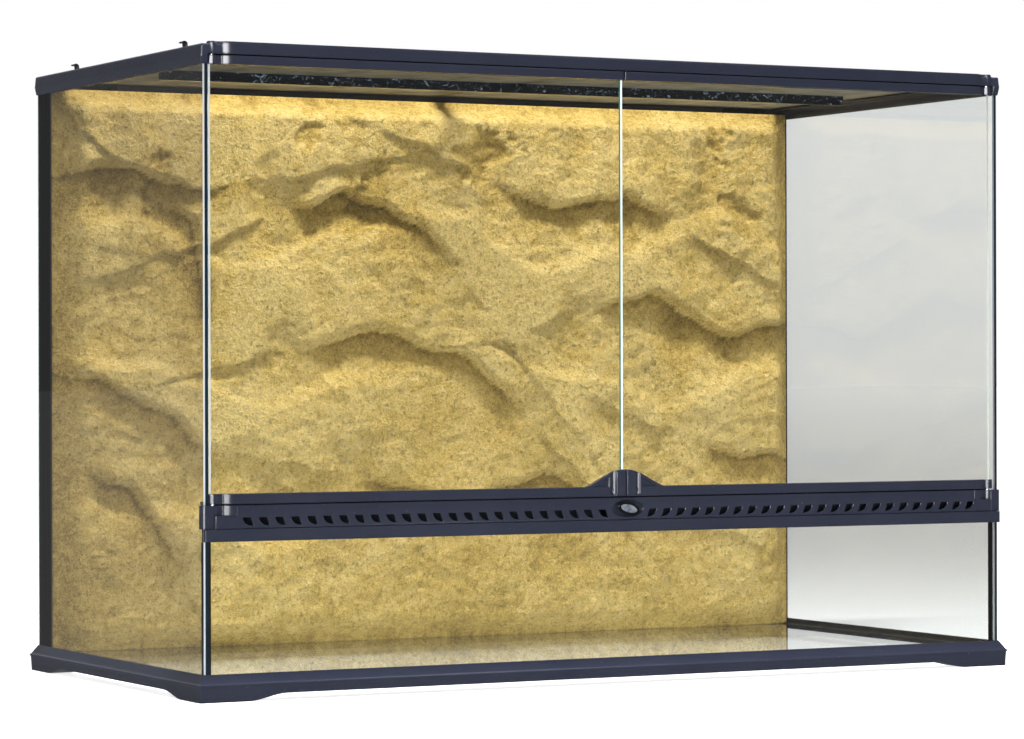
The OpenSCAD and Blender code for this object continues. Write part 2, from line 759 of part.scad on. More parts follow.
// Flat tongue on the end of the spindle: it lies level, and stands up when the lock is turned
module lock_cam() {
    color(gloss_black) translate([lock_x, tongue_y, lock_z]) rotate([-90, 0, 0])
        linear_extrude(tongue_t) difference() {
            union() {
                circle(spindle_r + 2.2);
                translate([0, -tongue_w / 2]) square([tongue_len - tongue_w / 2, tongue_w]);
                translate([tongue_len - tongue_w / 2, 0]) circle(tongue_w / 2);
            }
            circle(spindle_r);
        }
}

// ---------- screen cover ----------

module cover_frame() {
    top = bar_z + bar_h;
    color(plastic) difference() {
        block([-cover_x, cover_front + cover_gap, bar_z], [cover_x, cover_rear, top]);
        for (side = [-1, 1]) on_side(side) {
            block([bar_w / 2, cover_front + cover_gap + bar_w, bar_z - cut],
                  [cover_x - bar_w, cover_rear - bar_w, top + cut]);
            // slots that the latches enter
            for (y = latch_ys)
                block([cover_x - latch_travel - 0.6, y - latch_w / 2 - latch_foot - 0.6, latch_z - 0.5],
                      [cover_x + cut, y + latch_w / 2 + latch_foot + 0.6, latch_z + latch_t + 0.5]);
        }
        // chamfered upper edges
        for (side = [-1, 1]) on_side(side)
            translate([cover_x, 0, top]) rotate([0, 45, 0]) cube([1.2, glass_d, 1.2], center = true);
        for (y = [cover_front + cover_gap, cover_rear])
            translate([0, y, top]) rotate([45, 0, 0]) cube([glass_w, 1.2, 1.2], center = true);
    }
}

module screen_half() {
    x0 = bar_w / 2 - 6;
    x1 = cover_x - 1;
    y0 = cover_front + cover_gap + 1;
    y1 = cover_rear - 1;
    edge = 6;
    pitch_x = (x1 - x0 - 2 * edge + strand) / screen_nx;
    pitch_y = (y1 - y0 - 2 * edge + strand) / screen_ny;
    color(screen_grey) translate([0, 0, screen_z]) linear_extrude(screen_t) difference() {
        translate([x0, y0]) square([x1 - x0, y1 - y0]);
        for (i = [0:screen_nx - 1], j = [0:screen_ny - 1])
            translate([x0 + edge + i * pitch_x, y0 + edge + j * pitch_y])
                square([pitch_x - strand, pitch_y - strand]);
    }
}

module left_screen() {
    on_side(-1) screen_half();
}

module right_screen() {
    on_side(1) screen_half();
}

// Glossy brace bar under the middle of the screen
module brace_bar() {
    mid_y = (cover_front + cover_rear) / 2;
    color(gloss_black)
        block([-brace_l / 2, mid_y - brace_t / 2, screen_z - brace_h], [brace_l / 2, mid_y + brace_t / 2, screen_z]);
}

// Sliding latch with a curled finger grip; it moves towards -X to lock the cover
module latch(y) {
    n = 8;
    curl = [for (i = [0:n]) 180 - 140 * i / n];
    outer = [for (a = curl) curl_r * [cos(a), sin(a)]];
    inner = [for (i = [n:-1:0]) (curl_r - stem_t) * [cos(curl[i]), sin(curl[i])]];
    color(gloss_black) {
        block([inner_w - upstand, y - latch_w / 2 - latch_foot, latch_z],
              [foot_end, y + latch_w / 2 + latch_foot, latch_z + latch_t]);
        translate([stem_x + curl_r - stem_t / 2, y + latch_w / 2, curl_z]) rotate([90, 0, 0])
            linear_extrude(latch_w)
                polygon(concat([[-curl_r, latch_z + latch_t - curl_z - eps]], outer, inner,
                               [[stem_t - curl_r, latch_z + latch_t - curl_z - eps]]));
    }
}

module left_front_latch() {
    on_side(-1) latch(latch_ys[0]);
}

module left_rear_latch() {
    on_side(-1) latch(latch_ys[1]);
}

module right_front_latch() {
    on_side(1) latch(latch_ys[0]);
}

module right_rear_latch() {
    on_side(1) latch(latch_ys[1]);
}

// ---------- cable gates ----------

// Flat gate behind the inlet's window, with a finger ridge at its inner end
module cable_gate() {
    x1 = half_w - inlet_in + 2;
    color(gloss_black) {
        block([x1 - gate_l, gate_y, inlet_z - 1], [x1, gate_y + gate_t, inlet_z - 1 + gate_h]);
        block([x1 - 6, gate_y + gate_t - eps, inlet_z + 0.8], [x1 - 4, back_y + top_lip - 0.4, inlet_z + inlet_h - 0.8]);
    }
}

module left_cable_gate() {
    on_side(-1) cable_gate();
}

module right_cable_gate() {
    on_side(1) cable_gate();
}

base_frame();
floor_glass();
left_glass();
right_glass();
rear_glass();
lower_front_glass();
floor_seals();
corner_bonds();
rock_background();
vent_strip();
left_hinge_block();
right_hinge_block();
hinge_pins();
top_frame();
left_door_glass();
left_lower_rail();
left_upper_rail();
right_door_glass();
right_lower_rail();
right_upper_rail();
lock_knob();
lock_plate();
lock_cam();
cover_frame();
brace_bar();
left_screen();
right_screen();
left_front_latch();
left_rear_latch();
right_front_latch();
right_rear_latch();
left_cable_gate();
right_cable_gate();
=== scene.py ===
# %% [markdown]
# # A glass terrarium, dressed in Blender
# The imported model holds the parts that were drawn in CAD: panels, rails, hinges, lock, cover.
# This script loads that model as a fixed frame, gives every part a finish, and replaces the
# two things that CAD only sketches: the woven screen and the moulded rock wall.

import math

import bmesh
import bpy
from mathutils import Euler, Matrix, Vector, noise


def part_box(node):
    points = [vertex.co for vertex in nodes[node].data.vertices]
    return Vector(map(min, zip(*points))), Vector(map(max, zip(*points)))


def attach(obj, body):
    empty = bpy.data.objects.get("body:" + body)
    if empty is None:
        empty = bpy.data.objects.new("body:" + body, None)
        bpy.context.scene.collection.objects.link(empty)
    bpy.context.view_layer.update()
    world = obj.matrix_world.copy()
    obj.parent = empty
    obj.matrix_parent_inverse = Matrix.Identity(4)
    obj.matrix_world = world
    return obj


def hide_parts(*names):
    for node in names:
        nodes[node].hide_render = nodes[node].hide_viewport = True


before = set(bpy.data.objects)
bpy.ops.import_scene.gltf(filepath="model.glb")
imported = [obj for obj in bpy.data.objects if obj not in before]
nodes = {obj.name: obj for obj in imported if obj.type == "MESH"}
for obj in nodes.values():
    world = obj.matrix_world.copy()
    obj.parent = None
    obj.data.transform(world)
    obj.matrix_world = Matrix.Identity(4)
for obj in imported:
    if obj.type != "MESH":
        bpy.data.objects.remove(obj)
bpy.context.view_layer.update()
MM = 0.001

# %% [markdown]
# ## A small language for shader maths
# A material is a graph of nodes, and sums written as nodes are hard to read. So a socket is
# wrapped in a class whose plus, minus, times and power add the Math node they stand for. Every
# other node comes from one method that takes its type, its settings and what goes into its sockets.


# %% Sockets that can be added and multiplied
class Field:
    """An output socket of a material, usable in Python expressions."""

    def __init__(self, finish, socket):
        self.finish = finish
        self.socket = socket

    def _math(self, operation, first, second):
        return self.finish.add("Math", {"operation": operation}, {0: first, 1: second})

    def __add__(self, other):
        return self._math("ADD", self, other)

    def __radd__(self, other):
        return self._math("ADD", other, self)

    def __sub__(self, other):
        return self._math("SUBTRACT", self, other)

    def __rsub__(self, other):
        return self._math("SUBTRACT", other, self)

    def __mul__(self, other):
        return self._math("MULTIPLY", self, other)

    def __rmul__(self, other):
        return self._math("MULTIPLY", other, self)

    def __pow__(self, other):
        return self._math("POWER", self, other)

    def above(self, limit):
        return self._math("GREATER_THAN", self, limit)

    def at_most(self, limit):
        return self._math("MINIMUM", self, limit)

    def at_least(self, limit):
        return self._math("MAXIMUM", self, limit)

    def clamped(self):
        return self.at_least(0.0).at_most(1.0)


# %% A finish is a material with one Principled shader
class Finish:
    """A material that is built node by node round a Principled shader."""

    def __init__(self, name, **constants):
        self.material = bpy.data.materials.new(name)
        self.material.use_nodes = True
        self.tree = self.material.node_tree
        self.tree.nodes.clear()
        self.shader = self.add("BsdfPrincipled", None, constants)
        self.output = self.tree.nodes.new("ShaderNodeOutputMaterial")
        self.surface(self.shader)

    def add(self, kind, settings=None, sockets=None, out=0):
        node = self.tree.nodes.new("ShaderNode" + kind)
        for key, value in (settings or {}).items():
            if key == "stops":
                self._fill_ramp(node.color_ramp, value)
            else:
                setattr(node, key, value)
        for key, value in (sockets or {}).items():
            self._feed(node.inputs[key], value)
        return Field(self, node.outputs[out])

    def _fill_ramp(self, ramp, stops):
        while len(ramp.elements) < len(stops):
            ramp.elements.new(1.0)
        for element, (place, colour) in zip(ramp.elements, stops):
            element.position = place
            element.color = (*colour, 1.0)

    def _feed(self, socket, value):
        if isinstance(value, Field):
            self.tree.links.new(value.socket, socket)
        else:
            socket.default_value = value

    def vary(self, socket, value):
        self._feed(self.shader.socket.node.inputs[socket], value)

    def surface(self, shader):
        self._feed(self.output.inputs["Surface"], shader)

    def place(self, scale=(1.0, 1.0, 1.0)):
        spot = self.add("TexCoord", out="Object")
        return self.add("Mapping", None, {"Vector": spot, "Scale": scale})

    def grain(self, place, scale, detail=2.0, roughness=0.5, warp=0.0):
        return self.add(
            "TexNoise",
            None,
            {"Vector": place, "Scale": scale, "Detail": detail, "Roughness": roughness, "Distortion": warp},
            out="Fac",
        )

    def ramp(self, value, stops):
        return self.add("ValToRGB", {"stops": stops}, {"Fac": value}, out="Color")

    def blend(self, factor, first, second):
        """Mix two colours. The node has sockets of one name for each type, so the enabled ones are picked."""
        node = self.tree.nodes.new("ShaderNodeMix")
        node.data_type = "RGBA"
        for key, value in {"Factor": factor, "A": first, "B": second}.items():
            inputs = [s for s in node.inputs if s.name == key and s.enabled]
            self._feed(inputs[0], value)
        return Field(self, [s for s in node.outputs if s.enabled][0])

    def relief(self, height, depth, strength=1.0, normal=None):
        sockets = {"Height": height, "Distance": depth, "Strength": strength}
        if normal is not None:
            sockets["Normal"] = normal
        self.vary("Normal", self.add("Bump", None, sockets, out="Normal"))


def mid(*colour):
    """An sRGB colour, 0 to 255, as the linear colour with alpha that a socket takes."""
    linear = [((c / 255 + 0.055) / 1.055) ** 2.4 if c > 10 else c / 255 / 12.92 for c in colour]
    return (*linear, 1.0)


def rgb(*colour):
    """The same without alpha, for a ramp's stops."""
    return mid(*colour)[:3]


# %% [markdown]
# ## Black frame plastic
# The rails, base and hinge blocks are injection-moulded in black with a cool cast. The mould
# is finely etched, so highlights are soft but clear, and fine dust has settled on it. Real
# mouldings have no knife edges, so a Bevel node rounds the shading near each edge, where light
# catches the rim. The top moulding has the softest edge of them all.


# %% Moulded plastic
FRAME_COLOUR = (47, 51, 68)
FRAME_DULLNESS = 0.22
CLOUDING = 7
DUST = mid(120, 126, 142)


def moulded_plastic(name, colour, dull, etch, round_off):
    """Plastic with clouded colour, rubbed gloss, etched grain of a depth, and rounded edges."""
    finish = Finish(name, **{"Metallic": 0.0, "Specular IOR Level": 0.45})
    place = finish.place()
    cloud = finish.grain(place, 9.0, 3.0)
    speck = finish.grain(place, 1400.0, 2.0, 0.6)
    rub = finish.grain(place, 55.0, 4.0, 0.65, 0.4)
    tone = finish.ramp(cloud, [(0.3, rgb(*colour)), (0.75, rgb(*[c + CLOUDING for c in colour]))])
    dust = (finish.grain(place, 380.0, 2.0, 0.7) * 9.0 - 6.2).clamped()
    finish.vary("Base Color", finish.blend(dust * 0.5, tone, DUST))
    finish.vary("Roughness", dull - 0.08 + 0.1 * cloud + 0.08 * rub)
    rounded = finish.add("Bevel", {"samples": 6}, {"Radius": round_off})
    finish.relief(speck, etch, 0.5, rounded)
    return finish


frame_plastic = moulded_plastic("satin_frame_plastic", FRAME_COLOUR, FRAME_DULLNESS, 0.015 * MM, 1.2 * MM)
top_plastic = moulded_plastic("satin_top_plastic", FRAME_COLOUR, FRAME_DULLNESS, 0.015 * MM, 2.6 * MM)
gloss_trim = moulded_plastic("gloss_trim_plastic", (12, 13, 18), 0.14, 0.008 * MM, 0.4 * MM)
print("plastic finishes:", [finish.material.name for finish in (frame_plastic, top_plastic, gloss_trim)])

# %% [markdown]
# ## Float glass
# A clear panel hardly colours what is behind it, and its cut edge is green or slate. On the doors
# the edge seen from outside is a pale painted highlight, and the door edges glow with painted light.
# So the panel is a Principled glass for the faces, and a denser tinted shader takes over where the
# face turns into the edge. Lamps reach the rock through the glass because a shadow ray meets a
# transparent shader instead. The side panels are faintly smoked, and a strip of their front edge
# carries a painted highlight.


# %% Panel glass with its cut edge
CLEAR = (0.965, 0.985, 0.98)
SMOKED = (0.86, 0.872, 0.872)
SHADOW_TINT = (0.97, 0.985, 0.98, 1.0)
# The doors' edge seen from outside is painted as a pale highlight.
PAINTED_HIGHLIGHT_EDGE = (224, 232, 234)
PLAIN_EDGE = (44, 84, 78)
SLATE_EDGE = (24, 38, 48)
PLAIN_INSIDE = [(0.0, rgb(30, 70, 62)), (1.0, rgb(60, 100, 90))]
SLATE_INSIDE = [(0.0, rgb(22, 36, 44)), (1.0, rgb(26, 42, 52))]
DOOR_INSIDE = [(0.02, rgb(22, 104, 74)), (0.3, rgb(186, 200, 194))]
OUTER_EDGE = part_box("right_door_glass")[1][0]
# Between these places, a strip of each side pane's front edge is painted as a highlight.
LEFT_ARRIS_X = 0.4482
RIGHT_ARRIS_X = 0.44, 0.447
RIGHT_ARRIS_SHARE = 0.4


def panel_glass(name, thin_axis, tint, inside_stops, outside, streak, painted_arris_highlight=None, painted_edge_glow=0.0):
    """Glass whose cut edge has one colour from outside and a ramp of them through the panel."""
    finish = Finish(name, **{
        "Base Color": (*tint, 1.0), "Roughness": 0.0, "IOR": 1.45, "Transmission Weight": 1.0,
        "Specular IOR Level": 0.3,
    })
    parts = finish.add("SeparateXYZ", None, {"Vector": finish.add("NewGeometry", out="Normal")})
    along = Field(finish, parts.socket.node.outputs[thin_axis])
    flat = (along * along).above(0.5)
    x = finish.add("SeparateXYZ", None, {"Vector": finish.add("TexCoord", out="Object")})
    wave = finish.grain(finish.place((1.0, 1.0, 0.15)), 60.0, 3.0)
    inside = finish.ramp((x * x * (1.0 / OUTER_EDGE**2)).at_most(1.0), inside_stops)
    edge = finish.blend(finish.add("NewGeometry", out="Backfacing"), mid(*outside), inside)
    # The arris strip is a painted highlight.
    if painted_arris_highlight is not None:
        near, far = RIGHT_ARRIS_X
        on_right = RIGHT_ARRIS_SHARE * x.above(near) * (1.0 - x.above(far))
        edge = finish.blend((-1.0 * x).above(LEFT_ARRIS_X) + on_right, edge, mid(*painted_arris_highlight))
    # The edge's emission is painted glow.
    ground = finish.add("BsdfPrincipled", None, {
        "Base Color": finish.blend(wave * 0.3, edge, mid(*streak)),
        "Roughness": 0.22, "Specular IOR Level": 0.3, "Coat Weight": 0.1, "Coat Roughness": 0.05,
        "Emission Color": edge, "Emission Strength": painted_edge_glow,
    })
    rays = finish.add("LightPath", out="Is Shadow Ray")
    clear = finish.add("BsdfTransparent", None, {"Color": SHADOW_TINT})
    pane = finish.add("MixShader", None, {0: rays, 1: finish.shader, 2: clear})
    finish.surface(finish.add("MixShader", None, {0: flat, 1: ground, 2: pane}))
    return finish


PLAIN_STREAK = (58, 96, 92)
side_pane = panel_glass(
    "side_pane_glass", 0, SMOKED, SLATE_INSIDE, SLATE_EDGE, (48, 75, 94), painted_arris_highlight=(250, 252, 255),
)
flat_pane = panel_glass("upright_pane_glass", 1, CLEAR, PLAIN_INSIDE, PLAIN_EDGE, PLAIN_STREAK)
# The door edges get a pale painted highlight and a painted glow.
door_pane = panel_glass(
    "door_pane_glass", 1, CLEAR, DOOR_INSIDE, PAINTED_HIGHLIGHT_EDGE, (204, 214, 216), painted_edge_glow=0.55,
)
floor_pane = panel_glass("floor_pane_glass", 2, CLEAR, PLAIN_INSIDE, PLAIN_EDGE, PLAIN_STREAK)
print("glass finishes:", [pane.material.name for pane in (side_pane, flat_pane, door_pane, floor_pane)])

# %% [markdown]
# ## Silicone, steel and the lock plate
# Cured silicone is soft black with a slight orange peel from the smoothing finger. The pins and
# the lock's plate are bright metal with faint brush lines. The brace bar is near black, with pale
# mottled blotches of painted reflection on it.

# %% Silicone and steel
silicone = Finish("black_silicone", **{"Specular IOR Level": 0.25})
silicone_peel = silicone.grain(silicone.place(), 160.0, 3.0)
silicone.vary("Base Color", silicone.ramp(silicone_peel, [(0.3, rgb(12, 13, 15)), (0.8, rgb(24, 26, 29))]))
silicone.vary("Roughness", 0.3 + 0.2 * silicone_peel)
silicone.relief(silicone_peel, 0.2 * MM, 0.6)


def bright_steel(name, dull, stretch, stain_scale, dark, light):
    """Metal with brush lines that run along the axis of the smallest stretch, and cloudy stains."""
    finish = Finish(name, **{"Metallic": 0.6})
    brush = finish.grain(finish.place(stretch), 900.0, 2.0)
    stain = finish.grain(finish.place(), stain_scale, 3.0)
    finish.vary("Base Color", finish.ramp(stain, [(0.36, rgb(*dark)), (0.62, rgb(*light))]))
    finish.vary("Roughness", dull + 0.12 * brush)
    finish.relief(brush, 0.01 * MM, 0.4)
    return finish


pin_steel = bright_steel("pin_steel", 0.2, (1.0, 1.0, 0.1), 70.0, (176, 180, 186), (226, 229, 233))
plate_steel = bright_steel("lock_plate_metal", 0.16, (0.06, 1.0, 1.0), 130.0, (128, 140, 158), (214, 222, 234))

# %% Brace trim with painted reflection
brace_trim_painted_reflection = moulded_plastic("gloss_trim_painted_reflection", (10, 12, 17), 0.1, 0.01 * MM, 0.4 * MM)
reflection_mottle = brace_trim_painted_reflection.grain(brace_trim_painted_reflection.place((1.0, 1.0, 1.6)), 110.0, 6.0, 0.78, 1.2)
# The pale blotches are a painted reflection.
painted_reflection = ((reflection_mottle - 0.57) * 12.0).clamped()
brace_trim_painted_reflection.vary("Base Color", brace_trim_painted_reflection.blend(painted_reflection * 0.85, mid(10, 13, 20), mid(150, 172, 190)))
brace_trim_painted_reflection.vary("Roughness", 0.1 + 0.35 * painted_reflection)
print("metals, silicone and misted trim ready")

# %% [markdown]
# ## Put the finishes on the CAD parts
# A CAD node keeps its mesh and its place: only its material slots change.

# %% Dress the CAD nodes
FINISH_OF = {
    frame_plastic: [
        "base_frame", "vent_strip", "left_hinge_block", "right_hinge_block", "cover_frame",
        "left_lower_rail", "left_upper_rail", "right_lower_rail", "right_upper_rail",
    ],
    top_plastic: ["top_frame"],
    gloss_trim: [
        "lock_knob", "lock_cam", "left_front_latch", "left_rear_latch",
        "right_front_latch", "right_rear_latch", "left_cable_gate", "right_cable_gate",
    ],
    side_pane: ["left_glass", "right_glass"],
    flat_pane: ["rear_glass", "lower_front_glass"],
    door_pane: ["left_door_glass", "right_door_glass"],
    floor_pane: ["floor_glass"],
    silicone: ["floor_seals", "corner_bonds"],
    brace_trim_painted_reflection: ["brace_bar"],
    pin_steel: ["hinge_pins"],
    plate_steel: ["lock_plate"],
}
for finish, names in FINISH_OF.items():
    for name in names:
        nodes[name].data.materials.clear()
        nodes[name].data.materials.append(finish.material)
print("dressed", sum(len(names) for names in FINISH_OF.values()), "CAD nodes")


# %% Turn a bmesh into a finished piece
def finished_piece(name, bm, finish, body, smooth=False):
    mesh = bpy.data.meshes.new(name)
    for face in bm.faces:
        face.smooth = smooth
    bm.to_mesh(mesh)
    bm.free()
    mesh.materials.append(finish.material)
    piece = bpy.data.objects.new(name, mesh)
    bpy.context.scene.collection.objects.link(piece)
    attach(piece, body)
    print(name, "has", sum(len(p.vertices) - 2 for p in mesh.polygons), "triangles")
    return piece


# %% [markdown]
# ## The woven screen
# The cover carries a fine screen, two layers of thin wire that cross about two millimetres
# apart. A picture of a net would look flat from below, so each wire is real: a square bar, one
# create_cube each, with the two layers one wire apart.

# %% Wire finish
screen_wire = Finish("screen_wire", **{"Metallic": 0.7, "Roughness": 0.45})
wire_cloud = screen_wire.grain(screen_wire.place(), 40.0, 3.0)
screen_wire.vary("Base Color", screen_wire.ramp(wire_cloud, [
    (0.3, rgb(150, 146, 128)), (0.7, rgb(190, 186, 168)),
]))

# %% Wires of one screen half
WIRE = 0.34 * MM
WIRE_PITCH = 2.2 * MM


def bar(bm, low, high):
    """A straight bar between two corners, from one create_cube."""
    low, high = Vector(low), Vector(high)
    size = high - low
    place = Matrix.Translation((low + high) / 2) @ Matrix.Diagonal((*size, 1.0))
    bmesh.ops.create_cube(bm, size=1.0, matrix=place)


def woven_screen(side):
    node = side + "_screen"
    low, high = [Vector(c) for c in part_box(node)]
    bm = bmesh.new()
    middle = (low.z + high.z) / 2
    count_x = int((high.x - low.x - WIRE) / WIRE_PITCH)
    count_y = int((high.y - low.y - WIRE) / WIRE_PITCH)
    for i in range(count_x + 1):
        x = low.x + (high.x - low.x - WIRE) * i / count_x
        bar(bm, (x, low.y, middle - WIRE), (x + WIRE, high.y, middle))
    for j in range(count_y + 1):
        y = low.y + (high.y - low.y - WIRE) * j / count_y
        bar(bm, (low.x, y, middle), (high.x, y + WIRE, middle + WIRE))
    piece = finished_piece(side + "_woven_screen", bm, screen_wire, "cover")
    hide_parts(node)


for side in ("left", "right"):
    woven_screen(side)

# %% [markdown]
# ## The moulded rock wall
# The background is a foam block with a coat that imitates layered sandstone: broad bellies that
# step out over shallow creases, upright flutes near the top, and a gritty skin. It is modelled as
# a grid that starts flat, is pushed out by a height rule, and gets its sides from an extrusion.
# The rule follows the CAD block's own wandering ledges, so the two fit each other.

# %% The rock wall's box and grid
rock_low, rock_high = [Vector(c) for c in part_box("rock_background")]
ROCK_STEP = 2.5 * MM
ROCK_EDGE = 26.0 * MM
ROCK_RELIEF = rock_high.y - rock_low.y - ROCK_EDGE
rock_size = rock_high - rock_low
rock_columns = int(rock_size.x / ROCK_STEP)
rock_rows = int(rock_size.z / ROCK_STEP)
print("rock grid:", rock_columns, "x", rock_rows, "relief in mm:", round(ROCK_RELIEF / MM, 1))


# %% Height rule of the rock
def ease(t):
    """A smooth step from 0 at 0 to 1 at 1."""
    t = max(0.0, min(1.0, t))
    return t * t * (3.0 - 2.0 * t)


def sine(degrees):
    return math.sin(math.radians(degrees))


def ledge_line(k, x, z_low, height):
    """Height of the CAD block's ledge k at a place across the wall."""
    wander = 26.0 * sine(x * (0.55 + 0.2 * k) + 70.0 * k) + 9.0 * sine(x * 2.1 + 40.0 * k)
    return z_low + height * (0.24 + 0.25 * k) + wander


def block_form(x, z, z_low, height):
    """The CAD block's form, 0 to 1, with x from the middle and z up, in millimetres."""
    folds = 0.5 + 0.5 * sine(x * 0.95 + 34.0 * sine(z * 0.75) + 20.0)
    ribs = 0.5 + 0.5 * sine(x * 2.35 - 28.0 * sine(z * 0.9 + 50.0))
    shelves = []
    for k in range(3):
        under = ledge_line(k, x, z_low, height) - z
        shelves.append(ease(under / 24.0 + 0.5) * ease(1.0 - under / 150.0))
    return 0.34 * folds + 0.2 * ribs + 0.46 * max(shelves)


# Folds of the rock: what is above a line stands out over what lies below it. Points are in
# millimetres from the middle and from the table, and the last value is how far it steps.
FOLDS = [
    ([(-460, 512), (-360, 520), (-300, 500), (-215, 514)], 0.34),
    ([(-345, 498), (-296, 462), (-284, 380), (-290, 318)], 0.2),
    ([(-460, 318), (-392, 294), (-322, 264), (-296, 236), (-250, 214)], 0.22),
    ([(-430, 214), (-364, 184), (-324, 138), (-300, 84)], 0.26),
    ([(-206, 470), (-120, 498), (-40, 470), (10, 410)], 0.3),
    ([(-190, 330), (-90, 352), (30, 318), (100, 250)], 0.26),
    ([(40, 520), (130, 486), (220, 504), (290, 468)], 0.3),
    ([(160, 372), (250, 396), (350, 350), (450, 362)], 0.26),
    ([(-120, 196), (20, 170), (120, 196), (240, 158)], 0.24),
    ([(300, 232), (370, 206), (450, 214)], 0.22),
]
FOLD_LIP = 9.0
FOLD_DIP = 70.0
FOLD_FADE = 130.0
FOLD_END = 60.0
FOLD_SHADE = 13.0
WALL_END = 440.0


def fold_at(x, z, points):
    """Signed distance from a fold's line, positive above it, and how near its open ends are."""
    best, side, end = math.inf, 0.0, 0.0
    for (ax, az), (bx, bz) in zip(points, points[1:]):
        dx, dz = bx - ax, bz - az
        t = max(0.0, min(1.0, ((x - ax) * dx + (z - az) * dz) / (dx * dx + dz * dz)))
        px, pz = x - ax - t * dx, z - az - t * dz
        gap = math.hypot(px, pz)
        if gap < best:
            best, side = gap, math.copysign(1.0, dx * pz - dz * px)
    for ex, ez in (points[0], points[-1]):
        if abs(ex) < WALL_END:
            end = max(end, 1.0 - math.hypot(x - ex, z - ez) / FOLD_END)
    return best * side, end


def folded(x, z):
    """Total step of the folds at a place, and the painted shade under their lips."""
    wobble = 9.0 * noise.noise(Vector((x / 38.0, 5.0, z / 38.0)))
    step, painted_shade = 0.0, 0.0
    for points, lift in FOLDS:
        gap, end = fold_at(x, z + wobble, points)
        fade = 1.0 - ease(end)
        if gap > 0.0:
            step += lift * fade * ease(gap / FOLD_LIP) * math.exp(-gap / FOLD_FADE)
        else:
            step -= 0.5 * lift * fade * (1.0 - ease(-gap / FOLD_DIP))
            # Painted shade under the fold's lip.
            painted_shade += fade * math.exp(gap / FOLD_SHADE)
    return step, min(1.0, painted_shade)


def rock_height(x, z, z_low, height):
    """How far the rock stands out at a place, 0 to 1, and how much painted shade it gets there."""
    broad = noise.fractal(Vector((x / 150.0, 3.1, z / 150.0)), 0.9, 2.1, 3)
    lumps = noise.noise(Vector((x / 46.0, 8.3, z / 58.0)))
    rough = noise.fractal(Vector((x / 19.0, 3.1, z / 15.0)), 0.75, 2.2, 4)
    grit = noise.noise(Vector((x, 1.7, z)) / 4.2)
    upper = ease((z - z_low - 0.66 * height) / 120.0)
    flute_phase = 80.0 * noise.noise(Vector((x / 110.0, 0.0, z / 260.0)))
    flutes = sine(x * 5.2 + flute_phase) * sine(x * 1.3 + 40.0)
    pocket_noise = noise.noise(Vector((x / 62.0 + 7.0, 2.0, z / 74.0))) + 0.3 * rough
    pocket = ease((pocket_noise - 0.3) / 0.2) * (0.3 + 0.5 * upper)
    step, painted_shade = folded(x, z)
    form = 0.4 * block_form(x, z, z_low, height) + 0.3 + step + 0.13 * broad + 0.07 * lumps
    form += 0.14 * upper * flutes - 0.2 * pocket + 0.06 * rough + 0.015 * grit
    # The second value is painted shade, under the folds' lips and in the pockets.
    return form, min(1.0, 0.75 * painted_shade + 0.5 * pocket)


# %% Push the grid out
SIDE_RIM = 30.0 * MM
END_RIM = 24.0 * MM
FULLEST = 0.985


def rock_wall():
    """The wall as a closed bmesh, with a layer of painted shade, darker where a place stands back or lies
    under a fold.
    """
    bm = bmesh.new()
    bmesh.ops.create_grid(bm, x_segments=rock_columns, y_segments=rock_rows, size=0.5)
    hollow = bm.verts.layers.float.new("hollow")
    z_low, height = rock_low.z / MM, rock_size.z / MM
    for vert in bm.verts:
        u, v = vert.co.x, vert.co.y
        x, z = rock_low.x + (u + 0.5) * rock_size.x, rock_low.z + (v + 0.5) * rock_size.z
        form, painted_shade = rock_height(x / MM, z / MM, z_low, height)
        rim = ease((0.5 - abs(u)) * rock_size.x / SIDE_RIM) * ease((0.5 - abs(v)) * rock_size.z / END_RIM)
        out = max(0.0, min(FULLEST, form)) * rim
        vert.co = Vector((x, rock_high.y - ROCK_EDGE - ROCK_RELIEF * out, z))
        # Painted shade, darker where the wall stands back and under the folds' lips.
        vert[hollow] = 0.4 * (1.0 - out) + 0.75 * painted_shade
    border = [edge for edge in bm.edges if edge.is_boundary]
    sides = bmesh.ops.extrude_edge_only(bm, edges=border)["geom"]
    for vert in [g for g in sides if isinstance(g, bmesh.types.BMVert)]:
        vert.co.y = rock_high.y
    back = [edge for edge in bm.edges if edge.is_boundary]
    bmesh.ops.holes_fill(bm, edges=back, sides=0)
    bmesh.ops.recalc_face_normals(bm, faces=bm.faces)
    return bm


# %% [markdown]
# The skin is painted ochre and pale buff with dark specks, and painted shade turns it brown in the
# hollows and under the folds' lips. The colour follows an attribute that the grid kept from its height,
# and a fine bump carries the grit that is too small to model.

# %% Painted sandstone skin
sandstone = Finish("painted_sandstone_coat", **{"Specular IOR Level": 0.3})
rock_place = sandstone.place()
depth = sandstone.add("Attribute", {"attribute_name": "hollow"}, out="Fac")
patch = sandstone.grain(rock_place, 7.0, 5.0, 0.6, 0.6)
wash = sandstone.grain(rock_place, 30.0, 6.0, 0.7, 0.8)
crumb = sandstone.grain(rock_place, 105.0, 5.0, 0.7, 0.5)
pits = sandstone.grain(rock_place, 230.0, 3.0, 0.6)
grit = sandstone.grain(rock_place, 520.0, 3.0, 0.7)
# depth carries the painted shade into the colour.
tone = 0.42 * patch + 0.5 * wash + 0.7 * crumb + 0.6 * depth - 0.55
ground_colour = sandstone.ramp(tone, [
    (0.22, rgb(246, 216, 140)), (0.42, rgb(220, 185, 98)), (0.62, rgb(168, 135, 56)), (0.88, rgb(74, 56, 18)),
])
speck_mask = (pits * 6.0 - 3.2).clamped()
coloured = sandstone.blend(speck_mask * 0.6, ground_colour, mid(90, 70, 30))
sandstone.vary("Base Color", sandstone.blend(0.3, coloured, sandstone.ramp(grit, [
    (0.36, rgb(130, 101, 40)), (0.64, rgb(250, 221, 144)),
])))
sandstone.vary("Roughness", 0.68 + 0.2 * grit)
sandstone.relief(0.55 * crumb + 0.3 * pits + 0.15 * grit, 6.0 * MM, 1.0)

rock = finished_piece("sandstone_rock_wall", rock_wall(), sandstone, "tank", smooth=True)
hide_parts("rock_background")
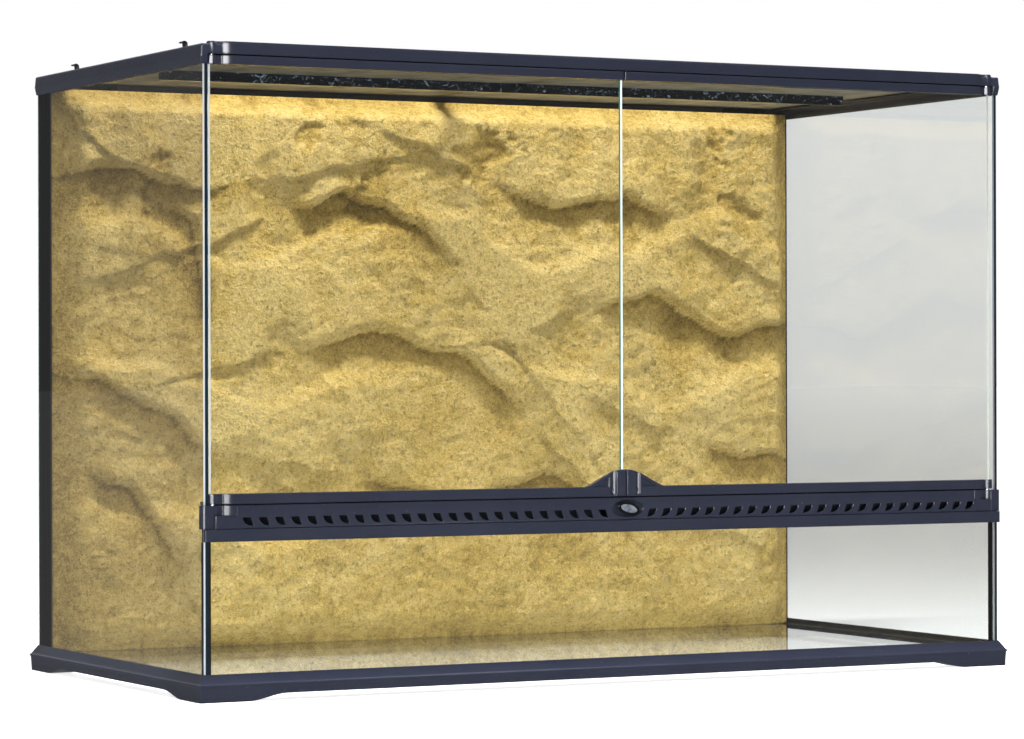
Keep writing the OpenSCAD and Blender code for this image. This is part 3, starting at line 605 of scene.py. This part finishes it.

# %% [markdown]
# ## Studio
# A pale floor and a white surround, as in a catalogue picture. The surround is only as bright
# as paper for what the camera sees; the light on the object comes from large soft lamps. What is
# seen through glass has painted shade: a little greyer, most of all low down and near the tank,
# so a clear pane still shows.
# Glossy black plastic and clear panes show whatever stands round them, so a photographer keeps
# white paper behind such a tank and lets the room in front fall dim. The world does the same for
# reflections: white behind the tank, dim elsewhere.

# %% Floor
FLOOR_REACH = 60.0
floor_mesh = bpy.data.meshes.new("studio_floor")
floor_bm = bmesh.new()
bmesh.ops.create_grid(floor_bm, x_segments=1, y_segments=1, size=FLOOR_REACH)
floor_bm.to_mesh(floor_mesh)
floor_bm.free()
studio_floor = bpy.data.objects.new("studio_floor", floor_mesh)
bpy.context.scene.collection.objects.link(studio_floor)

# %% Paint of the floor
WHITE = (1.0, 1.0, 1.0, 1.0)
FLOOR_GLOW = 0.82
NEAR_GLOW, FAR_GLOW, GLOW_REACH = 0.14, 0.52, 6.0
MIRRORED_FLOOR = 0.2
floor_paint = Finish("floor_paint", **{
    "Base Color": (0.8, 0.8, 0.8, 1.0), "Roughness": 1.0, "Specular IOR Level": 0.0,
})
camera_ray, glossy_ray, glass_ray, diffuse_depth, glossy_depth = [
    floor_paint.add("LightPath", out=kind)
    for kind in ("Is Camera Ray", "Is Glossy Ray", "Is Transmission Ray", "Diffuse Depth", "Glossy Depth")
]
looked_at = camera_ray.at_least(glossy_ray).at_least(glass_ray) * (1.0 - diffuse_depth.above(0.5))
mirrored = looked_at * glossy_depth.above(0.5)
floor_spot = floor_paint.add("TexCoord", out="Object")
reach = floor_paint.add("VectorMath", {"operation": "LENGTH"}, {0: floor_spot}, out="Value")
# Painted shade: seen through glass, the floor grows darker towards the tank.
painted_shade_through_glass = NEAR_GLOW + FAR_GLOW * reach * ((reach + GLOW_REACH) ** -1.0)
paper_glow = looked_at * (camera_ray * FLOOR_GLOW + (1.0 - camera_ray) * painted_shade_through_glass)
glow = floor_paint.add("Emission", None, {"Color": paper_glow, "Strength": 1.0})
lit_floor = floor_paint.add("AddShader", None, {0: floor_paint.shader, 1: glow})
dim_floor = floor_paint.add("Emission", None, {"Color": WHITE, "Strength": MIRRORED_FLOOR})
floor_paint.surface(floor_paint.add("MixShader", None, {0: mirrored, 1: lit_floor, 2: dim_floor}))
floor_mesh.materials.append(floor_paint.material)

# %% World
world = bpy.data.worlds.new("studio_world")
bpy.context.scene.world = world
world.use_nodes = True
sky = world.node_tree
backdrop = sky.nodes["Background"]
backdrop.inputs["Strength"].default_value = 1.0
AMBIENT = 0.3
DIM_ROOM = 0.13
BACKDROP_CENTRE = (0.466, 0.885, 0.0)
PAPER_START, PAPER_SLOPE = 0.72, 8.0
VEIL_LOW, VEIL_HIGH, VEIL_SLOPE = 0.86, 0.95, 1.5
UP = (0.0, 0.0, 1.0)


def sky_node(kind, operation, *values):
    """A Math or Vector Math node of the world; each value is a number, a vector or a socket."""
    node = sky.nodes.new("ShaderNode" + kind)
    node.operation = operation
    for socket, value in zip(node.inputs, values):
        if isinstance(value, bpy.types.NodeSocket):
            sky.links.new(value, socket)
        else:
            socket.default_value = value
    return node.outputs["Value"]


# %% What each kind of ray sees of the world
path = sky.nodes.new("ShaderNodeLightPath").outputs
heading = sky.nodes.new("ShaderNodeTexCoord").outputs["Generated"]

behind = sky_node("VectorMath", "DOT_PRODUCT", heading, BACKDROP_CENTRE)
paper = sky_node("Math", "MULTIPLY", sky_node("Math", "SUBTRACT", behind, PAPER_START), PAPER_SLOPE)
paper = sky_node("Math", "MINIMUM", sky_node("Math", "MAXIMUM", paper, DIM_ROOM), 1.0)

height = sky_node("VectorMath", "DOT_PRODUCT", heading, UP)
# Painted shade: seen through glass, the backdrop is greyer, the more so the lower it looks.
glass_veil_shade = sky_node("Math", "ADD", sky_node("Math", "MULTIPLY", height, VEIL_SLOPE), VEIL_LOW)
glass_veil_shade = sky_node("Math", "MAXIMUM", sky_node("Math", "MINIMUM", glass_veil_shade, VEIL_HIGH), VEIL_LOW)

direct = sky_node("Math", "LESS_THAN", path["Glossy Depth"], 0.5)
seen = sky_node("Math", "MULTIPLY", direct, sky_node("Math", "MAXIMUM", path["Is Camera Ray"], glass_veil_shade))
reflected = sky_node("Math", "MULTIPLY", sky_node("Math", "SUBTRACT", 1.0, direct), paper)

look = sky_node("Math", "MAXIMUM", path["Is Camera Ray"], path["Is Glossy Ray"])
look = sky_node("Math", "MAXIMUM", look, path["Is Transmission Ray"])
lighting = sky_node("Math", "GREATER_THAN", path["Diffuse Depth"], 0.5)
look = sky_node("Math", "MULTIPLY", look, sky_node("Math", "SUBTRACT", 1.0, lighting))
looked_sky = sky_node("Math", "MULTIPLY", look, sky_node("Math", "ADD", seen, reflected))
ambient = sky_node("Math", "MULTIPLY", lighting, AMBIENT)
sky.links.new(sky_node("Math", "MAXIMUM", looked_sky, ambient), backdrop.inputs["Color"])
print("world nodes:", len(sky.nodes))


# %% Lamps
def area_lamp(name, place, aim, size, watts):
    """A rectangular lamp at a place, turned towards its aim."""
    lamp = bpy.data.lights.new(name, "AREA")
    lamp.shape = "RECTANGLE"
    lamp.size, lamp.size_y = size
    lamp.energy = watts
    holder = bpy.data.objects.new(name, lamp)
    holder.location = place
    holder.rotation_euler = (Vector(aim) - Vector(place)).to_track_quat("-Z", "Y").to_euler()
    bpy.context.scene.collection.objects.link(holder)
    return holder


for soft_lamp in (
    area_lamp("key_lamp", (-1.6, -2.2, 2.4), (0.0, 0.0, 0.3), (1.2, 0.9), 24.0),
    area_lamp("fill_lamp", (2.7, -0.7, 1.3), (0.0, 0.0, 0.3), (1.0, 1.4), 7.0),
    area_lamp("hood_lamp", (-0.05, -0.28, 1.9), (-0.05, 0.15, 0.3), (0.9, 0.14), 56.0),
):
    soft_lamp.visible_glossy = False

# %% [markdown]
# The lamps above only light; what shines is drawn by two broad panels that only reflections
# see. They are linked to the plastic and the metal, so the panes stay clear from every side.

# %% Gloss panels
shining = bpy.data.collections.new("shining_pieces")
PANES = side_pane, flat_pane, door_pane, floor_pane
pane_names = [name for finish in PANES for name in FINISH_OF[finish]]
for name, node in nodes.items():
    if name not in pane_names:
        shining.objects.link(node)
for panel in (
    area_lamp("left_gloss_panel", (-3.1, -3.6, 0.6), (0.0, -0.22, 0.4), (5.6, 2.6), 1050.0),
    area_lamp("top_gloss_panel", (0.9, 0.8, 2.3), (0.2, 0.0, 0.5), (2.4, 2.0), 60.0),
):
    panel.visible_camera = False
    panel.visible_diffuse = False
    panel.visible_transmission = False
    panel.light_linking.receiver_collection = shining

# %% [markdown]
# ## Camera
# The photograph was solved for its camera: a long lens, a little below the middle of the tank,
# turned towards the right. The focal length is in pixels of a picture 1024 wide.

# %% Camera
PICTURE_WIDTH = 1024
FOCAL_PIXELS = 3655.0
YAW, PITCH, ROLL = 27.79, 0.06, -0.14
CAMERA_PLACE = (-1.7855, -3.371, 0.307)
camera_data = bpy.data.cameras.new("photo_camera")
camera_data.sensor_width = 36.0
camera_data.lens = FOCAL_PIXELS / PICTURE_WIDTH * camera_data.sensor_width
camera = bpy.data.objects.new("photo_camera", camera_data)
turn = Euler((0.0, 0.0, math.radians(-YAW))).to_matrix()
turn = turn @ Euler((math.radians(90.0 + PITCH), 0.0, 0.0)).to_matrix()
turn = turn @ Euler((0.0, 0.0, math.radians(ROLL))).to_matrix()
camera.matrix_world = Matrix.Translation(CAMERA_PLACE) @ turn.to_4x4()
bpy.context.scene.collection.objects.link(camera)
bpy.context.scene.camera = camera
bpy.context.scene.view_settings.view_transform = "Standard"
print("lens in mm:", round(camera_data.lens, 1))
